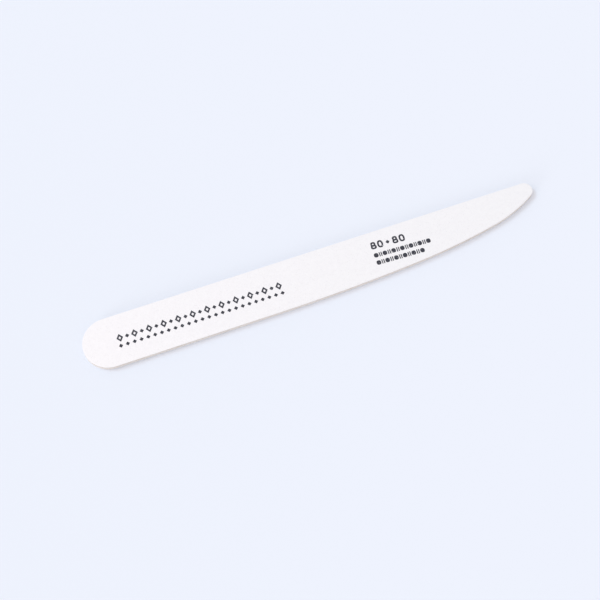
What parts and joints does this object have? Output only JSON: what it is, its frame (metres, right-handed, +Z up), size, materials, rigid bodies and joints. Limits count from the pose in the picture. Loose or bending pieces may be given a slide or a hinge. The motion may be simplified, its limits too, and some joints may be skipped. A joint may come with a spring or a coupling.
{
  "type": "wooden nail file",
  "caption": "Flat nail file with a wood core and an abrasive face on both sides, a round heel, a straight back and a curved front that rises to a narrow tip.",
  "frame": {"origin": "middle of the file's bounding box along X and Y, on the flat bottom face that it lies on", "axes": "+X along the length towards the narrow tip, +Y towards the straight back, +Z up out of the printed top face"},
  "size_m": [0.178, 0.0194, 0.0022],
  "materials": {
    "wood": "matte",
    "glue": "satin",
    "paper": "matte",
    "resin_bond": "satin",
    "abrasive": "matte",
    "ink": "matte"
  },
  "bodies": {
    "root": {"wood_core": "wood", "top_glue_line": "glue", "bottom_glue_line": "glue", "top_backing_paper": "paper", "bottom_backing_paper": "paper", "top_bond_coat": "resin_bond", "bottom_bond_coat": "resin_bond", "top_grit_coat": "abrasive", "bottom_grit_coat": "abrasive", "ornament_row": "ink", "fine_row": "ink", "printed_numbers": "ink", "bead_rows": "ink"}
  },
  "joints": []
}
